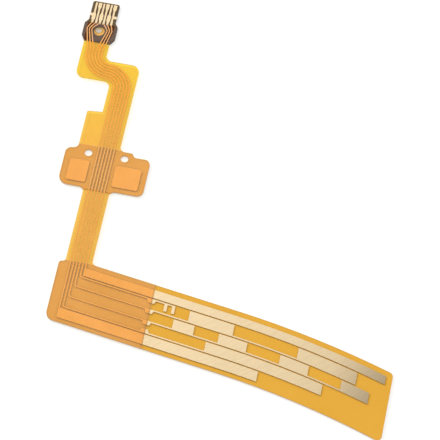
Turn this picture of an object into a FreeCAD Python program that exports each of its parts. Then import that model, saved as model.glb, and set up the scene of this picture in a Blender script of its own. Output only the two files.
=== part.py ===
import FreeCAD, Part
import math
import os

# Flat flex cable with a stiffened contact tip, two ears and an arm of gold contact tracks.
# Millimetres. X runs along the arm, Y runs up the ribbon to the tip, and Z is the thickness.
# The origin is the axis of the left ear's locating hole, on the surface that the cable lies on.

# Layer thicknesses, from the surface upwards
backing_t = 0.125
film_t = 0.050
copper_t = 0.018
plating_t = 0.012
cover_t = 0.040
cover_over_copper_t = 0.032

# Bonded layers are drawn this far apart, so that no two faces of different pieces lie in one plane
bond_gap = 0.001

# How far cutting shapes reach past what they cut
overshoot = 1.0

# Heights of the layers
film_z = backing_t + bond_gap
copper_z = film_z + film_t + bond_gap
plating_z = copper_z + copper_t
cover_ridge_t = copper_t + cover_over_copper_t

# Conductors
nets = 6
trace_w = 0.10
trace_pitch = 0.24
tip_trace_w = 0.09
contact_pitch = 0.30
trace_bend_r = 0.20
ridge_margin = 0.025

# Ribbon
ribbon_x = 1.30
ribbon_w = 2.00
tip_shift = 2.775
tip_x = ribbon_x - tip_shift

# Contact tip
tip_end_y = 13.29
tip_neck_w = 2.10
tip_neck_len = 1.69
tip_wide_w = 2.62
tip_shoulder_len = 0.36
tip_wide_len = 1.10
tip_chamfer_len = 0.50
tip_corner_r = 0.14
tip_edge_r = 0.20
stiffener_len = 3.59
stiffener_hole_r = 0.42
stiffener_hole_offset = -0.04
stiffener_hole_down = 2.59

# Contacts, measured down from the end of the tip
contact_inset = 0.12
contact_bare_len = 1.96
contact_head_w = 0.27
contact_neck_w = 0.14
contact_foot_w = 0.17
contact_pad_w = 0.29
contact_chamfer = 0.03
head_len = 0.38
pad_start = 1.10
pad_len = 0.36
contact_taper = 0.20
contact_covered = 0.06
contact_foot_len = 0.30
contact_foot_taper = 0.25
tie_bar_down = 1.24
tie_bar_w = 0.24

# Traces round the tip's hole
fan_start = 0.05
fan_lap = 0.20
hole_detour_down = 2.50
hole_detour_x = 0.63
hole_detour_pitch = 0.18
detour_r = 0.36
gather_run = 0.28
gather_lap = 0.10

# Holes
ear_hole_r = 0.30
ear_hole_spacing = 2.80
tip_hole_r = 0.25
tip_hole_down = 2.56
tip_hole_offset = -0.095

# S-shaped step of the ribbon
step_top_y = 8.15
step_w = 1.80
step_outer_r = 0.64
step_inner_r = 0.50
step_mid_y = step_top_y - step_w / 2
bundle_r = 1.425

# Tab beside the ribbon
tab_top_y = 3.65
tab_slope = 0.10
tab_w = 1.18
tab_corner_r = 0.14

# Ears
ear_top_y = 0.23
ear_bottom_y = -2.93
ear_left_x = -1.76
ear_right_x = 4.80
ear_left_r = 0.50
ear_left_bottom_r = 0.70
ear_right_r = 0.45
ear_right_bottom_r = 0.52
ear_root_r = 0.40
ear_step_x = 3.32
ear_step_h = 0.33
ear_step_run = 0.20
ear_step_r = 0.20
ear_backing_top_y = 0.67
ear_backing_bottom_y = -3.06

# Copper pads in the ears
pad_top_y = -0.69
pad_h = 1.85
pad_r = 0.16
left_pad_x = -1.25
left_pad_w = 1.52
right_pad_x = 2.30
right_pad_w = 2.02

# Arm: its top edge leaves the ribbon at arm_y, runs straight, and then bends down on one large arc
arm_y = -9.24
arm_angle = math.radians(8.0)
arm_straight = 11.5
arm_bend_r = 74.5
arm_w = 5.21
arm_left_x = -0.16
arm_left_drop = 0.10
arm_end_x = 25.87
arm_inner_r = 0.40
arm_root_r = 0.22
arm_left_r = 0.65
arm_end_top_r = 0.35
arm_end_bottom_r = 0.34
arm_backing_top_y = -9.20
cover_end_x = 7.36

# Rows of tracks, by their distance below the arm's top edge
row_inset = 0.42
row_gap = 0.10
row_widths = [0.65, 0.94, 0.84, 0.83, 0.80]
comb_w = 0.66

# Where the copper of each row starts and ends along X
row_1_end = 25.38
row_2_blocks = [(10.27, 13.72), (18.70, 23.28)]
row_3_blocks = [(9.22, 10.85), (12.74, 14.93), (17.49, 19.70), (22.25, 24.40)]
row_4_blocks = [(11.90, 20.94)]
row_5_end = 16.12
comb_fingers = [(8.30, 8.54), (8.89, 9.13)]
line_inset = 0.05

# Wider foot of each thin track where it comes out from under the coverlay
foot_back = 0.48
foot_front = 0.32
foot_slope = 0.16
foot_drop = 0.25


def vec(x, y, z=0.0):
    return FreeCAD.Vector(x, y, z)


def prism(wire, z, height):
    face = Part.Face(wire)
    solid = face.extrude(vec(0, 0, height))
    solid.translate(vec(0, 0, z))
    return solid


def fused(solids):
    first = solids[0]
    if len(solids) > 1:
        first = first.multiFuse(solids[1:])
    return first.removeSplitter()


def slab(x0, x1, y0, y1, z, height):
    return Part.makeBox(x1 - x0, y1 - y0, height, vec(x0, y0, z))


def drill(r, x, y):
    """A cylinder longer than the cable is thick, to cut a hole with."""
    return Part.makeCylinder(r, 2 * overshoot, vec(x, y, -overshoot))


def rounded_edges(corners, closed=True):
    """Edges through the corners (x, y, radius), each corner rounded by a tangent arc."""
    count = len(corners)
    points = [vec(x, y) for x, y, r in corners]
    entry, arcs = [], []
    for i in range(count):
        r = corners[i][2]
        back = points[i - 1] - points[i]
        ahead = points[(i + 1) % count] - points[i]
        back.normalize()
        ahead.normalize()
        half = math.acos(max(-1.0, min(1.0, back.dot(ahead)))) / 2
        open_end = not closed and i in (0, count - 1)
        if r <= 0 or open_end:
            entry.append((points[i], points[i]))
            arcs.append(None)
            continue
        reach = r / math.tan(half)
        start = points[i] + back * reach
        end = points[i] + ahead * reach
        inward = back + ahead
        inward.normalize()
        middle = points[i] + inward * (r / math.sin(half) - r)
        entry.append((start, end))
        arcs.append(Part.Arc(start, middle, end).toShape())
    edges = []
    last = count if closed else count - 1
    for i in range(count):
        if arcs[i]:
            edges.append(arcs[i])
        if i < last:
            a = entry[i][1]
            b = entry[(i + 1) % count][0]
            if (b - a).Length > 1e-6:
                edges.append(Part.makeLine(a, b))
    return edges


def rounded_wire(corners):
    return Part.Wire(rounded_edges(corners))


# The arm's family of curves: every edge of the arm and of its tracks is the top edge, set off by a distance

arm_along = vec(math.cos(arm_angle), -math.sin(arm_angle))
arm_down = vec(-math.sin(arm_angle), -math.cos(arm_angle))
arm_root = vec(ribbon_x + ribbon_w / 2, arm_y)
bend_start = arm_root + arm_along * arm_straight
bend_centre = bend_start + arm_down * arm_bend_r


def bend_x(offset):
    """X where the curve at this offset stops being straight."""
    return (bend_start + arm_down * offset).x


def arm_point(offset, x):
    if x <= bend_x(offset):
        base = arm_root + arm_down * offset
        return base + arm_along * ((x - base.x) / arm_along.x)
    r = arm_bend_r - offset
    run = x - bend_centre.x
    return vec(x, bend_centre.y + math.sqrt(r * r - run * run))


def arm_curve(offset, x0, x1):
    """Edges of the curve at this offset, from x0 to x1, with x0 below x1."""
    a = arm_point(offset, x0)
    b = arm_point(offset, x1)
    knee = bend_x(offset)
    if x1 <= knee:
        return [Part.makeLine(a, b)]
    start = max(x0, knee)
    arc = Part.Arc(arm_point(offset, start), arm_point(offset, (start + x1) / 2), b).toShape()
    if x0 >= knee:
        return [arc]
    return [Part.makeLine(a, arm_point(offset, knee)), arc]


def band(top, bottom, x0, x1):
    """Closed outline between two offsets of the arm's curve, with ends along Y."""
    edges = arm_curve(top, x0, x1) + arm_curve(bottom, x0, x1)
    edges.append(Part.makeLine(arm_point(top, x0), arm_point(bottom, x0)))
    edges.append(Part.makeLine(arm_point(top, x1), arm_point(bottom, x1)))
    return Part.Wire(Part.__sortEdges__(edges))


def arm_corner(offset, r, side):
    """Where a rounded end corner leaves the curve, its middle and where it meets the end."""
    reach = arm_bend_r - offset + side * r
    cx = arm_end_x - r
    run = cx - bend_centre.x
    centre = vec(cx, bend_centre.y + math.sqrt(reach * reach - run * run))
    out = centre - bend_centre
    out.normalize()
    on_curve = centre + out * (-side * r)
    on_end = vec(arm_end_x, centre.y)
    middle = on_curve + on_end - centre * 2
    middle.normalize()
    return on_curve, centre + middle * r, on_end


def arm_outline():
    """Outline of the arm with its squared corner under the ribbon."""
    top_leave, top_mid, top_end = arm_corner(0.0, arm_end_top_r, -1)
    low_leave, low_mid, low_end = arm_corner(arm_w, arm_end_bottom_r, 1)
    left_x = ribbon_x - ribbon_w / 2
    left_y = arm_y - arm_left_drop
    join_y = arm_y + 2 * arm_inner_r
    low_left = arm_point(arm_w, arm_left_x)
    start = arm_point(0.0, arm_root.x + arm_inner_r)
    low_stop = arm_point(arm_w, arm_left_x + 2 * arm_left_r)
    head = rounded_edges(
        [
            (low_stop.x, low_stop.y, 0),
            (low_left.x, low_left.y, arm_left_r),
            (arm_left_x, left_y, arm_root_r),
            (left_x, left_y, arm_root_r),
            (left_x, join_y, 0),
            (arm_root.x, join_y, 0),
            (arm_root.x, arm_y, arm_inner_r),
            (start.x, start.y, 0),
        ],
        closed=False,
    )
    ends = [
        Part.Arc(top_leave, top_mid, top_end).toShape(),
        Part.makeLine(top_end, low_end),
        Part.Arc(low_leave, low_mid, low_end).toShape(),
    ]
    top = arm_curve(0.0, start.x, top_leave.x)
    low = arm_curve(arm_w, low_stop.x, low_leave.x)
    return Part.Wire(Part.__sortEdges__(head + top + ends + low))


def tip_corners():
    """Right half of the tip's outline, from its end to the ribbon, as (half width, y, radius)."""
    wide_y = tip_end_y - tip_neck_len - tip_shoulder_len
    chamfer_y = wide_y - tip_wide_len
    return [
        (tip_neck_w / 2, tip_end_y, tip_corner_r),
        (tip_neck_w / 2, tip_end_y - tip_neck_len, tip_edge_r),
        (tip_wide_w / 2, wide_y, tip_edge_r),
        (tip_wide_w / 2, chamfer_y, tip_edge_r),
        (ribbon_w / 2, chamfer_y - tip_chamfer_len, tip_edge_r),
    ]


def ribbon_outline():
    """Outline of the tip, the stepped ribbon, the tab and the ears, down to the arm's corner."""
    left = ribbon_x - ribbon_w / 2
    right = ribbon_x + ribbon_w / 2
    tip_left = tip_x - ribbon_w / 2
    tip_right = tip_x + ribbon_w / 2
    step_bottom_y = step_top_y - step_w
    tab_x = left - tab_w
    step_y = ear_top_y + ear_step_h
    foot_y = arm_y + arm_inner_r
    right_side = [(tip_x + w, y, r) for w, y, r in tip_corners()]
    left_side = [(tip_x - w, y, r) for w, y, r in reversed(tip_corners())]
    corners = right_side + [
        (tip_right, step_top_y, step_inner_r),
        (right, step_top_y, step_outer_r),
        (right, step_y, ear_root_r),
        (ear_step_x, step_y, ear_step_r),
        (ear_step_x + ear_step_run, ear_top_y, ear_step_r),
        (ear_right_x, ear_top_y, ear_right_r),
        (ear_right_x, ear_bottom_y, ear_right_bottom_r),
        (right, ear_bottom_y, ear_root_r),
        (right, foot_y, 0),
        (left, foot_y, 0),
        (left, ear_bottom_y, ear_root_r),
        (ear_left_x, ear_bottom_y, ear_left_bottom_r),
        (ear_left_x, ear_top_y, ear_left_r),
        (tab_x, ear_top_y, ear_root_r),
        (tab_x, tab_top_y - tab_slope, tab_corner_r),
        (left, tab_top_y, 0),
        (left, step_bottom_y, step_inner_r),
        (tip_left, step_bottom_y, step_outer_r),
    ]
    return rounded_wire(corners + left_side)


def holes():
    return [
        drill(ear_hole_r, 0, 0),
        drill(ear_hole_r, ear_hole_spacing, 0),
        drill(tip_hole_r, tip_x + tip_hole_offset, tip_end_y - tip_hole_down),
    ]


def film_shape(z, height):
    """The full outline of the cable, with its holes, as one flat plate."""
    plate = fused([prism(ribbon_outline(), z, height), prism(arm_outline(), z, height)])
    for hole in holes():
        plate = plate.cut(hole)
    return plate


def base_film():
    return film_shape(film_z, film_t)


def tip_stiffener():
    plate = film_shape(0, backing_t)
    cut_y = tip_end_y - stiffener_len
    top_y = tip_end_y + overshoot
    tip = plate.common(slab(tip_x - tip_wide_w, tip_x + tip_wide_w, cut_y, top_y, 0, backing_t))
    hole = drill(stiffener_hole_r, tip_x + stiffener_hole_offset, tip_end_y - stiffener_hole_down)
    return tip.cut(hole)


def ear_backing():
    plate = film_shape(0, backing_t)
    left, right = ear_left_x - overshoot, ear_right_x + overshoot
    return plate.common(slab(left, right, ear_backing_bottom_y, ear_backing_top_y, 0, backing_t))


def arm_backing():
    plate = film_shape(0, backing_t)
    depth = arm_point(arm_w, arm_end_x).y - overshoot
    left, right = arm_left_x - overshoot, arm_end_x + overshoot
    return plate.common(slab(left, right, depth, arm_backing_top_y, 0, backing_t))


# Conductors: a strip is laid along a path of straight runs and tangent arcs


def strip(start, heading, moves, width):
    """Outline of a strip. Moves are ('run', length) and ('turn', radians to the left, radius)."""
    half = width / 2
    at = vec(*start)
    left, right = [], []
    first = None
    for move in moves:
        along = vec(math.cos(heading), math.sin(heading))
        side = vec(-along.y, along.x)
        if first is None:
            first = (at + side * half, at - side * half)
        if move[0] == "run":
            end = at + along * move[1]
            left.append(Part.makeLine(at + side * half, end + side * half))
            right.append(Part.makeLine(at - side * half, end - side * half))
            at = end
            continue
        angle, r = move[1], move[2]
        sense = 1 if angle > 0 else -1
        centre = at + side * (sense * r)
        rays = []
        for share in (0.0, 0.5, 1.0):
            a = heading + angle * share - sense * math.pi / 2
            rays.append(vec(math.cos(a), math.sin(a)))
        left.append(Part.Arc(*[centre + ray * (r - sense * half) for ray in rays]).toShape())
        right.append(Part.Arc(*[centre + ray * (r + sense * half) for ray in rays]).toShape())
        at = centre + rays[2] * r
        heading += angle
    side = vec(-math.sin(heading), math.cos(heading))
    caps = [Part.makeLine(*first), Part.makeLine(at + side * half, at - side * half)]
    return Part.Wire(Part.__sortEdges__(left + right + caps))


def moves_through(points, radii):
    """Moves along straight lines through the points, each inner point rounded by its radius."""
    moves = []
    spare = 0.0
    for i in range(len(points) - 1):
        run = math.dist(points[i], points[i + 1]) - spare
        heading = math.atan2(points[i + 1][1] - points[i][1], points[i + 1][0] - points[i][0])
        if i == len(points) - 2:
            moves.append(("run", run))
            break
        after = math.atan2(points[i + 2][1] - points[i + 1][1], points[i + 2][0] - points[i + 1][0])
        turn = math.atan2(math.sin(after - heading), math.cos(after - heading))
        spare = radii[i] * math.tan(abs(turn) / 2)
        moves.append(("run", run - spare))
        moves.append(("turn", turn, radii[i]))
    return moves


def net_offset(net):
    """How far right of the middle a net runs, in pitches."""
    return net - (nets - 1) / 2


def ribbon_offset(net):
    return net_offset(net) * trace_pitch


def bundle_drop():
    """Half the height between the two centres of the S-shaped step."""
    spread = 2 * bundle_r - tip_shift
    return math.sqrt((2 * bundle_r) ** 2 - spread**2) / 2


def bundle_top_y():
    """Height where the traces start to turn into the step."""
    return step_mid_y + bundle_drop()


def bundle_turn():
    """How far the bundle turns at each end of the step."""
    return math.atan2(bundle_drop() * 2, 2 * bundle_r - tip_shift)


def tip_trace(net, widen):
    """Narrow trace from under its contact, round the tip's hole and in to the bundle."""
    side = 1 if net_offset(net) > 0 else -1
    nth = int(abs(net_offset(net)))
    contact_x = net_offset(net) * contact_pitch
    around_x = stiffener_hole_offset + side * (hole_detour_x + nth * hole_detour_pitch)
    bundle_x = ribbon_offset(net)
    cover_y = tip_end_y - contact_bare_len
    gather_y = bundle_top_y() + gather_run
    points = [
        (tip_x + contact_x, cover_y + fan_lap),
        (tip_x + contact_x, cover_y + fan_start),
        (tip_x + around_x, tip_end_y - hole_detour_down),
        (tip_x + bundle_x, gather_y),
        (tip_x + bundle_x, gather_y - gather_lap),
    ]
    moves = moves_through(points, [trace_bend_r, detour_r, trace_bend_r])
    return strip(points[0], -math.pi / 2, moves, tip_trace_w + 2 * widen)


def taper(net, widen):
    """Short stretch where a trace widens from the tip's width to the ribbon's."""
    x = tip_x + ribbon_offset(net)
    top = tip_trace_w / 2 + widen
    low = trace_w / 2 + widen
    low_y = bundle_top_y()
    top_y = low_y + gather_run
    return rounded_wire([(x - top, top_y, 0), (x + top, top_y, 0), (x + low, low_y, 0), (x - low, low_y, 0)])


def step_moves(net):
    """The S-shaped step, with every net on its own pair of radii about the same two centres."""
    offset = ribbon_offset(net)
    turn = bundle_turn()
    return [("turn", turn, bundle_r - offset), ("turn", -turn, bundle_r + offset)]


def ribbon_trace(net, stop_y, widen):
    """Trace down the step and the ribbon, ending straight at stop_y."""
    start = (tip_x + ribbon_offset(net), bundle_top_y())
    moves = step_moves(net) + [("run", step_mid_y - bundle_drop() - stop_y)]
    return strip(start, -math.pi / 2, moves, trace_w + 2 * widen)


def turned_trace(net, offset, end_x, widen):
    """Trace down the ribbon that turns onto the arm and follows it at this offset to end_x."""
    start = (tip_x + ribbon_offset(net), bundle_top_y())
    corner = arm_point(offset, ribbon_x + ribbon_offset(net))
    turn = math.pi / 2 - arm_angle
    spare = trace_bend_r * math.tan(turn / 2)
    down = step_mid_y - bundle_drop() - corner.y - spare
    knee = arm_point(offset, bend_x(offset))
    along = math.dist((corner.x, corner.y), (knee.x, knee.y)) - spare
    moves = step_moves(net) + [("run", down), ("turn", turn, trace_bend_r)]
    if end_x > knee.x:
        r = arm_bend_r - offset
        swing = math.asin((end_x - bend_centre.x) / r) - math.asin((knee.x - bend_centre.x) / r)
        moves += [("run", along), ("turn", -swing, r)]
    else:
        moves.append(("run", along - (knee.x - end_x) / arm_along.x))
    return strip(start, -math.pi / 2, moves, trace_w + 2 * widen)


def contact_outline(net):
    """Contact at the tip: a long neck with a wide head at its end or a wide pad lower down, and a foot."""
    x = tip_x + net_offset(net) * contact_pitch
    top = tip_end_y - contact_inset
    bottom = tip_end_y - contact_bare_len - contact_covered
    neck = contact_neck_w / 2
    foot_half = contact_foot_w / 2
    if net % 2:
        wide = contact_head_w / 2
        side = [
            (wide - contact_chamfer, top),
            (wide, top - contact_chamfer),
            (wide, top - head_len),
            (neck, top - head_len - contact_taper),
            (neck, bottom + contact_foot_len + contact_foot_taper),
            (foot_half, bottom + contact_foot_len),
        ]
    else:
        wide = contact_pad_w / 2
        pad_top = top - pad_start
        side = [
            (neck - contact_chamfer, top),
            (neck, top - contact_chamfer),
            (neck, pad_top + contact_taper),
            (wide, pad_top),
            (wide, pad_top - pad_len),
            (foot_half, pad_top - pad_len - contact_taper),
        ]
    side.append((foot_half, bottom))
    left = [(x - w, y, 0) for w, y in side]
    right = [(x + w, y, 0) for w, y in reversed(side)]
    return rounded_wire(left + right)


def tie_bar(net, z, height):
    """Plating lead from the first or last contact to the tip's edge."""
    x = tip_x + net_offset(net) * contact_pitch
    edge = tip_x + (tip_neck_w / 2 if net else -tip_neck_w / 2)
    y = tip_end_y - tie_bar_down
    return slab(min(x, edge), max(x, edge), y - tie_bar_w / 2, y + tie_bar_w / 2, z, height)


def row_edges(row):
    """Top and bottom offsets of a row, counted from 0."""
    top = row_inset + sum(row_widths[:row]) + row * row_gap
    return top, top + row_widths[row]


def foot(line_offset, side, widen):
    """Wider foot of a thin track at the coverlay's edge, hanging below its line or standing above it."""
    near = line_offset - side * (trace_w / 2 + widen)
    far = line_offset + side * (trace_w / 2 + foot_drop + widen)
    stations = [
        (near, cover_end_x - foot_back - widen),
        (far, cover_end_x - foot_back + foot_slope - widen),
        (far, cover_end_x + foot_front - foot_slope + widen),
        (near, cover_end_x + foot_front + widen),
    ]
    points = [arm_point(offset, x) for offset, x in stations]
    return rounded_wire([(at.x, at.y, 0) for at in points])


def bus_net(net, row, blocks, side, z, height, widen):
    """A thin track along the bottom of its row that carries the row's blocks."""
    top, bottom = row_edges(row)
    line = bottom - trace_w / 2
    end_x = blocks[-1][1] - line_inset
    wires = [turned_trace(net, line, end_x, widen), foot(line, side, widen)]
    if not widen:
        wires += [band(top, bottom, x0, x1) for x0, x1 in blocks]
    return [prism(wire, z, height) for wire in wires]


def comb_net(net, z, height, widen):
    """A short thin track along the top of the second row, with two fingers."""
    top = row_edges(1)[0]
    line = top + trace_w / 2
    end_x = comb_fingers[-1][1] - line_inset
    wires = [turned_trace(net, line, end_x, widen), foot(line, 1, widen)]
    if not widen:
        wires += [band(top, top + comb_w, x0, x1) for x0, x1 in comb_fingers]
    return [prism(wire, z, height) for wire in wires]


def strip_net(net, row, end_x, z, height, widen):
    """A plain wide strip along its whole row."""
    top, bottom = row_edges(row)
    x0 = ribbon_x + ribbon_offset(net) - trace_w / 2
    stop_y = arm_point((top + bottom) / 2, x0).y
    wires = [
        ribbon_trace(net, stop_y, widen),
        band(top - widen, bottom + widen, x0 - widen, end_x),
    ]
    return [prism(wire, z, height) for wire in wires]


def net_runs(net, z, height, widen=0.0):
    """Everything of a net except its contact."""
    if net == 0:
        return strip_net(net, 4, row_5_end, z, height, widen)
    if net == 1:
        return bus_net(net, 3, row_4_blocks, -1, z, height, widen)
    if net == 2:
        return bus_net(net, 2, row_3_blocks, 1, z, height, widen)
    if net == 3:
        return bus_net(net, 1, row_2_blocks, 1, z, height, widen)
    if net == 4:
        return comb_net(net, z, height, widen)
    return strip_net(net, 0, row_1_end, z, height, widen)


def net_copper(net, z, height):
    """A whole net from its contact to its track, as one plate."""
    pieces = [prism(wire, z, height) for wire in (contact_outline(net), tip_trace(net, 0.0), taper(net, 0.0))]
    if net in (0, nets - 1):
        pieces.append(tie_bar(net, z, height))
    return fused(pieces + net_runs(net, z, height))


def ear_pad(x, w, z, height, widen=0.0):
    corners = []
    for cx, cy in ((0, 0), (1, 0), (1, -1), (0, -1)):
        px = x + cx * w + (2 * cx - 1) * widen
        py = pad_top_y + cy * pad_h + (2 * cy + 1) * widen
        corners.append((px, py, pad_r + widen))
    return prism(rounded_wire(corners), z, height)


def tip_window():
    """Space above the tip where the coverlay is open."""
    cover_y = tip_end_y - contact_bare_len
    left, right = tip_x - tip_wide_w, tip_x + tip_wide_w
    return slab(left, right, cover_y, tip_end_y + overshoot, copper_z, overshoot)


def arm_window():
    """Space above the arm where the coverlay is open."""
    depth = arm_point(arm_w, arm_end_x).y - overshoot
    return slab(cover_end_x, arm_end_x + overshoot, depth, arm_y + overshoot, copper_z, overshoot)


def coverlay(spaces):
    """Film over the conductors, raised over each of them, with the copper's own space cut out."""
    ridges = []
    for net in range(nets):
        for wire in (tip_trace(net, ridge_margin), taper(net, ridge_margin)):
            ridges.append(prism(wire, copper_z, cover_ridge_t))
        ridges += net_runs(net, copper_z, cover_ridge_t, ridge_margin)
    ridges.append(ear_pad(left_pad_x, left_pad_w, copper_z, cover_ridge_t, ridge_margin))
    ridges.append(ear_pad(right_pad_x, right_pad_w, copper_z, cover_ridge_t, ridge_margin))
    sheets = [film_shape(copper_z, cover_t)] + ridges
    film = fused([sheet.cut(tip_window()).cut(arm_window()) for sheet in sheets])
    for space in spaces:
        film = film.cut(space)
    return film


def build():
    net_names = ["row_5", "row_4", "row_3", "row_2", "comb", "row_1"]
    parts = {"base_film": base_film()}
    space_t = copper_t + bond_gap
    spaces = [
        ear_pad(left_pad_x, left_pad_w, copper_z, space_t),
        ear_pad(right_pad_x, right_pad_w, copper_z, space_t),
    ]
    for net, name in enumerate(net_names):
        spaces.append(net_copper(net, copper_z, space_t))
        parts["conductor_" + name] = net_copper(net, copper_z, copper_t)
        gold = net_copper(net, plating_z, plating_t)
        parts["contact_plating_%d" % (net + 1)] = gold.common(tip_window())
        parts["track_plating_" + name] = gold.common(arm_window())
    parts["ear_pad_left"] = ear_pad(left_pad_x, left_pad_w, copper_z, copper_t)
    parts["ear_pad_right"] = ear_pad(right_pad_x, right_pad_w, copper_z, copper_t)
    parts["coverlay"] = coverlay(spaces)
    parts["tip_stiffener"] = tip_stiffener()
    parts["ear_backing"] = ear_backing()
    parts["arm_backing"] = arm_backing()
    return parts


os.makedirs("parts", exist_ok=True)
for name, shape in build().items():
    solid = shape.Solids[0]
    print("%-24s solids %d valid %s volume %.5f" % (name, len(shape.Solids), solid.isValid(), solid.Volume))
    solid.exportStep("parts/%s.step" % name)
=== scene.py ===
import math

import bpy
from mathutils import Matrix, Vector

MM = 0.001

# The photograph's camera: it leans away from straight down and is turned round the vertical
CAMERA_TILT = math.radians(27.0)
CAMERA_TURN = math.radians(11.3)
LOOK_AT = Vector((10.95, -3.70, 0.2)) * MM
FIELD_OF_VIEW = 33.09 * MM
FOCAL_RATIO = 2800 / 440
SENSOR = 36.0
CAMERA_CLIP = (0.01, 10.0)

# Square lamps: name, azimuth, elevation, distance, side and power
LAMPS = (
    ("softbox", 101.3, 64.0, 0.50, 0.55, 0.72),
    ("key", 146.0, 30.0, 0.40, 0.08, 0.50),
)
WORLD_STRENGTH = 0.60

# The floor: half its side in metres, and its drop below the object in millimetres. Its glow, which only
# the camera, reflections and transmission rays meet, makes it white
FLOOR_HALF = 1.0
FLOOR_DROP = 0.002
FLOOR_COLOUR = (0.64, 0.64, 0.64, 1)
FLOOR_GLOW = 0.46

# The part of the floor that is seen through the film's hole, where its glow is turned down as a painted
# shadow, since little light reaches it there
FLOOR_PAINTED_SHADOW = (-1.59, 10.82)
FLOOR_PAINTED_SHADOW_FADE = (0.22, 0.42)
FLOOR_PAINTED_SHADOW_GLOW = 0.10

# Clear amber films, by place: how much of each colour one pass through the layer lets through. The film
# looks deeper where no backing lies under it, and among the step's conductors it is painted deeper still,
# as the shade they cast
FILM_PASSES = {
    "open": (1.0, 0.672, 0.14),
    "step": (1.0, 0.755, 0.06),
    "bundle": (0.955, 0.60, 0.05),
    "hole": (0.955, 0.60, 0.17),
    "backed": (1.0, 0.785, 0.32),
    # Along the coverlay's edge across the arm, a darker strip is painted as its shade
    "cover_edge_shade": (1.0, 0.785, 0.32),
    "bare": (0.94, 0.778, 0.30),
}
COVER_PASSES = dict.fromkeys(FILM_PASSES, (1.0, 0.934, 0.62))
# The coverlay is painted darker along its edge across the arm, as the edge's shade
COVER_PASSES["cover_edge_shade"] = (0.84, 0.83, 0.62)

# The films' faint haze: how strong it is away from a backing and over one, its colours, what the bare tip
# has more of it, and how much is left among the tip's covered conductors
FILM_HAZE = (0.02, 0.02)
COVER_HAZE = (0.035, 0.06)
FILM_HAZE_COLOUR = (0.9, 0.8, 0.6)
COVER_HAZE_COLOUR = (0.95, 0.8, 0.8)
TIP_HAZE_COLOUR = (0.80, 0.63, 0.60)
TIP_HAZE_COVERED = (0.74, 0.62, 0.80)
TIP_HAZE_MORE = 0.05
FAN_HAZE = 0.1

# The film's cut edge, which the light crosses the long way, looks darker and less clear. Over the
# stiffener it is painted darker still, as shade where no light comes up from below
EDGE_COLOUR = (0.60, 0.40, 0.13)
SHADED_TIP_EDGE_COLOUR = (0.22, 0.075, 0.02)
EDGE_COVER = 0.5

# Copper, by place. The traces over the open ribbon, where no backing lies under them, are painted darker as
# shade
WIDE_COPPER = (0.85, 0.385, 0.07)
SHADED_TRACE_COPPER = (0.81, 0.375, 0.11)
STEP_COPPER = (0.92, 0.415, 0.04)
EAR_COPPER = (0.82, 0.42, 0.16)
TIP_COPPER = (0.78, 0.45, 0.40)
BARE_COPPER = (0.72, 0.62, 0.38)

# Gold with brushed lines. Its colour is painted darker along the arm in ramps, as its reflection fades
# towards the far end: where each ramp starts and ends, and its two levels
GOLD = (0.878, 0.682, 0.412)
GOLD_EDGE_TINT = (1.0, 0.88, 0.68, 1)
BRUSHED_TURN = math.radians(-36)
REFLECTION_FADE_ALONG = (1.0, -0.4, 0.0)
REFLECTION_FADE_RAMPS = ((12.0, 24.0, 0.965, 0.845), (24.0, 27.0, 1.0, 0.92), (27.0, 31.0, 1.0, 0.57))

# The plates under the film: their colour, its darker speckle, and the colour among the tip's conductors
STIFFENER_COLOURS = ((0.038, 0.025, 0.025), (0.032, 0.021, 0.021))
STIFFENER_BETWEEN = (0.10, 0.03, 0.01)
BACKING_COLOURS = ((1.0, 0.74, 0.48), (0.97, 0.71, 0.46))

# Where a backing or the stiffener lies under the film, in millimetres along Y
ARM_BACKING_TOP = -9.2
EAR_BACKING = (-3.06, 0.67)
STIFFENER_BOTTOM = 9.7

# The tip's middle line and the stiffener's hole, in millimetres
TIP_X = -1.475
STIFFENER_HOLE = (-1.515, 10.70, 0.42)

# The covered conductors on the stiffener: how far from the middle line they lie, and how the right ones
# draw in below a height, in millimetres
FAN_REACH = (0.50, 1.06)
FAN_SLANT_TOP = 10.6
FAN_SLANT = 0.28

# Between these heights the ribbon's look turns from the ears' to the step's, in millimetres
STEP_RAMP = (0.5, 7.0)

# The bundle of conductors in the step, where the film among them is painted darker as their shade: the
# centres and the radius of its two arcs, where they meet, and the distances from its middle line between
# which the painted shade fades out, in millimetres
UPPER_ARC = (-0.05, 8.675, 0.0)
LOWER_ARC = (-0.125, 5.826, 1.0)
ARC_RADIUS = 1.425
ARC_CHANGE_X = -0.0875
BUNDLE_FADE = (0.65, 0.75)

# Where the coverlay ends and the plated tracks lie bare, and the width of the darker strip painted along
# its edge across the arm as the edge's shade, in millimetres
ARM_BARE_X = 7.36
TIP_BARE_Y = 11.33
COVER_EDGE_SHADE_WIDTH = 0.10


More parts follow.
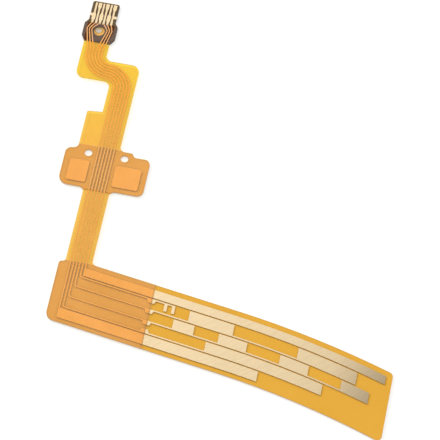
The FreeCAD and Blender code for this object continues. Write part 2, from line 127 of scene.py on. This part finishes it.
class Material:
    """A material with short ways to add and link nodes. Lengths and places are in millimetres."""

    def __init__(self, name):
        self.data = bpy.data.materials.new(name)
        self.data.use_nodes = True
        self.tree = self.data.node_tree
        self.tree.nodes.clear()

    def add(self, kind, links=None, values=None, **settings):
        made = self.tree.nodes.new("ShaderNode" + kind)
        for key, value in settings.items():
            setattr(made, key, value)
        for key, value in (values or {}).items():
            made.inputs[key].default_value = value
        for key, source in (links or {}).items():
            self.tree.links.new(source, made.inputs[key])
        return made

    def vector(self, operation, source, other, output=0):
        made = self.add("VectorMath", {0: source}, {1: other}, operation=operation)
        return made.outputs[output]

    def math(self, operation, a, b=0.0):
        made = self.add("Math", operation=operation)
        for slot, value in enumerate((a, b)):
            if isinstance(value, (int, float)):
                made.inputs[slot].default_value = value
            else:
                self.tree.links.new(value, made.inputs[slot])
        return made.outputs[0]

    def times(self, a, b):
        return self.math("MULTIPLY", a, b)

    def place(self, scale=(1, 1, 1), turn=0.0):
        """Position in the row frame, turned about Z and stretched."""
        coord = self.add("TexCoord").outputs["Object"]
        turned = self.add("VectorRotate", {"Vector": coord}, {"Axis": (0, 0, 1), "Angle": turn})
        return self.vector("MULTIPLY", turned.outputs[0], [s / MM for s in scale])

    def axes(self):
        """X, Y and Z."""
        return self.add("SeparateXYZ", {0: self.place()}).outputs

    def facing(self):
        """How far a face looks up: 1 for a flat top, 0 for a wall."""
        return self.add("SeparateXYZ", {0: self.add("TexCoord").outputs["Normal"]}).outputs[2]

    def distance(self, x, y):
        """How far away a spot on the plane is."""
        flat = self.vector("MULTIPLY", self.place(), (1, 1, 0))
        return self.vector("DISTANCE", flat, (x, y, 0), "Value")

    def backed(self):
        """1 where a backing or the stiffener lies under the film, and 0 elsewhere."""
        arm = self.math("LESS_THAN", self.axes()[1], ARM_BACKING_TOP)
        return self.math("ADD", self.math("ADD", arm, self.tip()), self.ears())

    def ears(self):
        """1 over the ears' backing, and 0 elsewhere."""
        y = self.axes()[1]
        above = self.math("GREATER_THAN", y, EAR_BACKING[0])
        return self.times(above, self.math("LESS_THAN", y, EAR_BACKING[1]))

    def tip(self):
        """1 over the stiffener, and 0 elsewhere."""
        x, y, radius = STIFFENER_HOLE
        solid = self.math("GREATER_THAN", self.distance(x, y), radius)
        return self.times(self.math("GREATER_THAN", self.axes()[1], STIFFENER_BOTTOM), solid)

    def hole(self):
        """1 in the stiffener's hole, and 0 elsewhere."""
        x, y, radius = STIFFENER_HOLE
        return self.math("LESS_THAN", self.distance(x, y), radius)

    def fan(self):
        """1 among the covered conductors on the stiffener, and 0 elsewhere."""
        x, y, _ = self.axes()
        aside = self.math("SUBTRACT", x, TIP_X)
        below = self.math("MAXIMUM", self.math("SUBTRACT", FAN_SLANT_TOP, y), 0.0)
        right = self.math("ADD", aside, self.times(below, FAN_SLANT))
        reach = self.math("MAXIMUM", self.times(aside, -1.0), right)
        inner = self.math("GREATER_THAN", reach, FAN_REACH[0])
        fan = self.times(inner, self.math("LESS_THAN", reach, FAN_REACH[1]))
        fan = self.times(fan, self.math("LESS_THAN", y, TIP_BARE_Y))
        return self.times(fan, self.tip())

    def step(self):
        """0 at the ears, and rising to 1 in the ribbon's step beside the tip."""
        y = self.axes()[1]
        rise = self.spread(y, 0.0, 1.0, *STEP_RAMP)
        return self.times(rise, self.math("LESS_THAN", y, STIFFENER_BOTTOM))

    def off_arc(self, centre, side):
        """How far a spot is from one half of the bundle's middle line."""
        away = self.vector("SUBTRACT", self.place(), centre)
        kept = self.vector(side, away, (0, 0, 0))
        reach = self.add("VectorMath", {0: kept}, operation="LENGTH").outputs["Value"]
        return self.math("ABSOLUTE", self.math("SUBTRACT", reach, ARC_RADIUS))

    def bundle(self):
        """1 where the film among the conductors in the neck, the step and the ribbon is painted darker as
        their shade, and 0 elsewhere.
        """
        lower = self.math("GREATER_THAN", self.axes()[0], ARC_CHANGE_X)
        upper = self.math("SUBTRACT", 1.0, lower)
        off_lower = self.times(lower, self.off_arc(LOWER_ARC, "MAXIMUM"))
        off_upper = self.times(upper, self.off_arc(UPPER_ARC, "MINIMUM"))
        return self.spread(self.math("ADD", off_lower, off_upper), 1.0, 0.0, *BUNDLE_FADE)

    def bare(self):
        """1 where the conductors lie open, and 0 under the coverlay."""
        x, y, _ = self.axes()
        arm = self.times(self.math("GREATER_THAN", x, ARM_BARE_X), self.math("LESS_THAN", y, 0.0))
        return self.math("ADD", arm, self.math("GREATER_THAN", y, TIP_BARE_Y))

    def cover_edge_shade(self):
        """1 from the painted shade along the coverlay's edge across the arm onwards, and 0 elsewhere."""
        x, y, _ = self.axes()
        beyond = self.math("GREATER_THAN", x, ARM_BARE_X - COVER_EDGE_SHADE_WIDTH)
        return self.times(beyond, self.math("LESS_THAN", y, 0.0))

    def noise(self, place, scale, detail=3.0, roughness=0.55):
        values = {"Scale": scale, "Detail": detail, "Roughness": roughness}
        return self.add("TexNoise", {"Vector": place}, values).outputs["Fac"]

    def spread(self, source, low, high, from_low=0.3, from_high=0.7):
        """Maps a value, such as a noise, onto a range of plain numbers."""
        values = {"From Min": from_low, "From Max": from_high, "To Min": low, "To Max": high}
        return self.add("MapRange", {"Value": source}, values).outputs[0]

    def shade(self, colour, amount):
        """The colour multiplied by a number that varies over the surface."""
        base = self.add("RGB")
        base.outputs[0].default_value = tuple(colour) + (1,)
        return self.scale(base.outputs[0], amount)

    def scale(self, colour, amount):
        made = self.add("VectorMath", {0: colour, "Scale": amount}, operation="SCALE")
        return made.outputs[0]

    def blend(self, amount, a, b):
        """Mixes two colours, each a plain tuple or a socket."""
        made = self.add("Mix", {0: amount}, data_type="RGBA")
        for slot, value in ((6, a), (7, b)):
            if isinstance(value, tuple):
                made.inputs[slot].default_value = value + (1,)
            else:
                self.tree.links.new(value, made.inputs[slot])
        return made.outputs[2]

    def bump(self, height, strength, depth):
        values = {"Strength": strength, "Distance": depth * MM}
        return self.add("Bump", {"Height": height}, values).outputs[0]

    def mix(self, amount, a, b):
        return self.add("MixShader", {0: amount, 1: a, 2: b}).outputs[0]

    def finish(self, shader):
        self.add("OutputMaterial", {"Surface": shader})
        return self.data


def film_passes(mat, passes):
    """What one face of a film lets through, by place: the square root, because a layer has two faces."""
    faces = {place: tuple(math.sqrt(p) for p in one) for place, one in passes.items()}
    # Among the step's conductors the film is painted darker, as their shade
    face = mat.blend(mat.bundle(), faces["step"], faces["bundle"])
    face = mat.blend(mat.step(), faces["open"], face)
    face = mat.blend(mat.hole(), face, faces["hole"])
    face = mat.blend(mat.backed(), face, faces["backed"])
    face = mat.blend(mat.cover_edge_shade(), face, faces["cover_edge_shade"])
    return mat.blend(mat.bare(), face, faces["bare"])


def haze_level(mat, haze):
    """How strong a film's haze is, by place."""
    level = mat.spread(mat.backed(), haze[0], haze[1], 0.0, 1.0)
    level = mat.times(level, mat.spread(mat.fan(), 1.0, FAN_HAZE, 0.0, 1.0))
    return mat.math("ADD", level, mat.times(mat.times(mat.tip(), mat.bare()), TIP_HAZE_MORE))


def film_material(name, passes, haze, haze_colour, roughness):
    """A clear film with a faint haze on its top face and darker cut edges."""
    mat = Material(name)
    place = mat.place()
    cloudy = mat.noise(place, 0.35, 4.0)
    grain = mat.noise(place, 9.0, 3.0)
    rolled = mat.noise(mat.place((0.6, 7.0, 1.0)), 1.0, 3.0)
    tint = mat.times(mat.spread(cloudy, 0.996, 1.004), mat.spread(grain, 0.996, 1.003))
    clear = mat.add("BsdfTransparent", {"Color": mat.scale(film_passes(mat, passes), tint)})
    tip_haze = mat.blend(mat.bare(), TIP_HAZE_COVERED, TIP_HAZE_COLOUR)
    haze_here = mat.blend(mat.tip(), haze_colour, tip_haze)
    gloss = mat.add(
        "BsdfPrincipled",
        {
            "Base Color": mat.scale(haze_here, mat.spread(cloudy, 0.9, 1.1)),
            "Roughness": mat.spread(rolled, roughness - 0.06, roughness + 0.08),
            "Normal": mat.bump(rolled, 0.25, 0.004),
        },
    )
    facing = mat.facing()
    level = mat.times(mat.spread(grain, 0.93, 1.07), haze_level(mat, haze))
    amount = mat.times(level, mat.math("GREATER_THAN", facing, 0.5))
    sheet = mat.mix(amount, clear.outputs[0], gloss.outputs[0])
    side = mat.math("LESS_THAN", mat.math("ABSOLUTE", facing), 0.5)
    # Over the stiffener the cut edge takes a colour painted darker as shade
    edge_colour = mat.scale(mat.blend(mat.tip(), EDGE_COLOUR, SHADED_TIP_EDGE_COLOUR), tint)
    edge = mat.add("BsdfPrincipled", {"Base Color": edge_colour}, {"Roughness": 0.6})
    return mat.finish(mat.mix(mat.times(side, EDGE_COVER), sheet, edge.outputs[0]))


def gold_material():
    mat = Material("gold")
    lines = mat.noise(mat.place((0.7, 8.0, 1.0), BRUSHED_TURN), 1.0, 4.0, 0.6)
    fine = mat.noise(mat.place((2.5, 30.0, 1.0), BRUSHED_TURN), 1.0, 2.0)
    grain = mat.noise(mat.place(), 30.0, 2.0)
    # The gold's painted darkening along the arm, where its reflection fades
    along = mat.vector("DOT_PRODUCT", mat.place(), REFLECTION_FADE_ALONG, "Value")
    ramps = [mat.spread(along, low, high, start, end) for start, end, low, high in REFLECTION_FADE_RAMPS]
    reflection_fade = mat.times(mat.times(ramps[0], ramps[1]), ramps[2])
    streak = mat.times(mat.spread(lines, 0.90, 1.07), mat.spread(fine, 0.97, 1.03))
    metal = mat.add(
        "BsdfPrincipled",
        {
            "Base Color": mat.shade(GOLD, mat.times(reflection_fade, streak)),
            "Roughness": mat.spread(lines, 0.26, 0.42),
            "Normal": mat.bump(mat.math("ADD", lines, mat.times(grain, 0.4)), 0.35, 0.003),
        },
        {"Metallic": 0.5, "Specular Tint": GOLD_EDGE_TINT},
    )
    return mat.finish(metal.outputs[0])


def copper_material(name, trace_colour, step_colour, ear_colour):
    """Copper foil, whose colour is set by the film over it and the backing under it, partly as painted
    shade.
    """
    mat = Material(name)
    place = mat.place()
    cloudy = mat.noise(place, 1.2, 4.0)
    grain = mat.noise(place, 25.0, 3.0)
    amount = mat.times(mat.spread(cloudy, 0.96, 1.03), mat.spread(grain, 0.97, 1.02))
    ribbon = mat.math("GREATER_THAN", mat.axes()[1], ARM_BACKING_TOP)
    # Over the open ribbon the traces take a colour painted darker as shade
    colour = mat.blend(ribbon, WIDE_COPPER, mat.blend(mat.step(), trace_colour, step_colour))
    colour = mat.blend(mat.ears(), colour, ear_colour)
    colour = mat.blend(mat.tip(), colour, TIP_COPPER)
    colour = mat.blend(mat.bare(), colour, BARE_COPPER)
    metal = mat.add(
        "BsdfPrincipled",
        {
            "Base Color": mat.scale(colour, amount),
            "Roughness": mat.spread(grain, 0.38, 0.55),
            "Normal": mat.bump(grain, 0.3, 0.002),
        },
        {"Metallic": 0.6},
    )
    return mat.finish(metal.outputs[0])


def board_material(name, colours, roughness, between=None):
    """Backing and stiffener: a matt laminate with a fine speckle, and another colour between conductors."""
    mat = Material(name)
    colour, dark = colours
    place = mat.place()
    cloudy = mat.noise(place, 0.9, 4.0)
    speckle = mat.noise(place, 22.0, 3.0, 0.65)
    mixed = mat.blend(mat.spread(speckle, 0.0, 1.0), dark, colour)
    if between:
        mixed = mat.blend(mat.fan(), mixed, between)
    body = mat.add(
        "BsdfPrincipled",
        {
            "Base Color": mat.blend(mat.spread(cloudy, 0.0, 0.35), mixed, dark),
            "Roughness": mat.spread(speckle, roughness - 0.08, roughness + 0.08),
            "Normal": mat.bump(speckle, 0.15, 0.003),
        },
    )
    return mat.finish(body.outputs[0])


def floor_material():
    mat = Material("floor")
    body = mat.add("BsdfDiffuse", values={"Color": FLOOR_COLOUR})
    path = mat.add("LightPath").outputs
    seen = mat.math("MAXIMUM", path["Is Camera Ray"], path["Is Glossy Ray"])
    seen = mat.math("MAXIMUM", seen, path["Is Transmission Ray"])
    # A painted shadow: the floor's glow is turned down under the film's hole
    spot = mat.distance(*FLOOR_PAINTED_SHADOW)
    seen = mat.times(seen, mat.spread(spot, FLOOR_PAINTED_SHADOW_GLOW, FLOOR_GLOW, *FLOOR_PAINTED_SHADOW_FADE))
    glow = mat.add("Emission", {"Strength": seen})
    both = mat.add("AddShader", {0: body.outputs[0], 1: glow.outputs[0]})
    return mat.finish(both.outputs[0])


def paint(obj, mat):
    for slot in obj.material_slots:
        slot.material = mat
    if not obj.material_slots:
        obj.data.materials.append(mat)


def add_object(name, data):
    obj = bpy.data.objects.new(name, data)
    bpy.context.scene.collection.objects.link(obj)
    return obj


def add_floor():
    mesh = bpy.data.meshes.new("floor")
    half = FLOOR_HALF
    corners = [(-half, -half, 0), (half, -half, 0), (half, half, 0), (-half, half, 0)]
    mesh.from_pydata(corners, [], [(0, 1, 2, 3)])
    mesh.materials.append(floor_material())
    floor = add_object("floor", mesh)
    floor.location.z = -FLOOR_DROP * MM


def add_light(name, azimuth, elevation, distance, size, power):
    """A square lamp that faces the object's middle."""
    lamp = bpy.data.lights.new(name, "AREA")
    lamp.shape = "SQUARE"
    lamp.size = size
    lamp.energy = power
    a, e = math.radians(azimuth), math.radians(elevation)
    away = Vector((math.cos(a) * math.cos(e), math.sin(a) * math.cos(e), math.sin(e)))
    obj = add_object(name, lamp)
    obj.location = LOOK_AT + away * distance
    obj.rotation_euler = away.to_track_quat("Z", "Y").to_euler()


def add_world():
    world = bpy.data.worlds.new("world")
    bpy.context.scene.world = world
    world.use_nodes = True
    background = world.node_tree.nodes["Background"].inputs
    background["Color"].default_value = (1, 1, 1, 1)
    background["Strength"].default_value = WORLD_STRENGTH


def add_camera():
    cam = bpy.data.cameras.new("camera")
    cam.sensor_width = SENSOR
    cam.lens = FOCAL_RATIO * SENSOR
    cam.clip_start, cam.clip_end = CAMERA_CLIP
    turn = Matrix.Rotation(CAMERA_TURN, 3, "Z") @ Matrix.Rotation(CAMERA_TILT, 3, "X")
    away = turn @ Vector((0, 0, 1))
    obj = add_object("camera", cam)
    obj.location = LOOK_AT + away * (FOCAL_RATIO * FIELD_OF_VIEW)
    obj.rotation_euler = turn.to_euler()
    bpy.context.scene.camera = obj


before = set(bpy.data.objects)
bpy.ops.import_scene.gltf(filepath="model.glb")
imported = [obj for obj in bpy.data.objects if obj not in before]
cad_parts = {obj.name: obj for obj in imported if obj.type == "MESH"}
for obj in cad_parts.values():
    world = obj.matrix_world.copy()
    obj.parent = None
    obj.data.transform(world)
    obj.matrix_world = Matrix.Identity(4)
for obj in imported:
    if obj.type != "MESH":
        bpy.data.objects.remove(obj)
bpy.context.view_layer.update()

gold = gold_material()
backing = board_material("backing", BACKING_COLOURS, 0.5)
materials = {
    "base_film": film_material("amber_film", FILM_PASSES, FILM_HAZE, FILM_HAZE_COLOUR, 0.30),
    "coverlay": film_material("amber_coverlay", COVER_PASSES, COVER_HAZE, COVER_HAZE_COLOUR, 0.40),
    "conductor": copper_material("copper", SHADED_TRACE_COPPER, STEP_COPPER, EAR_COPPER),
    "ear_pad": copper_material("pad_copper", WIDE_COPPER, WIDE_COPPER, WIDE_COPPER),
    "contact_plating": gold,
    "track_plating": gold,
    "tip_stiffener": board_material("stiffener", STIFFENER_COLOURS, 0.6, STIFFENER_BETWEEN),
    "arm_backing": backing,
    "ear_backing": backing,
}
for name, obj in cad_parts.items():
    for start, material in materials.items():
        if name.startswith(start):
            paint(obj, material)

add_floor()
for lamp in LAMPS:
    add_light(*lamp)
add_camera()
add_world()
bpy.context.scene.view_settings.view_transform = "Standard"
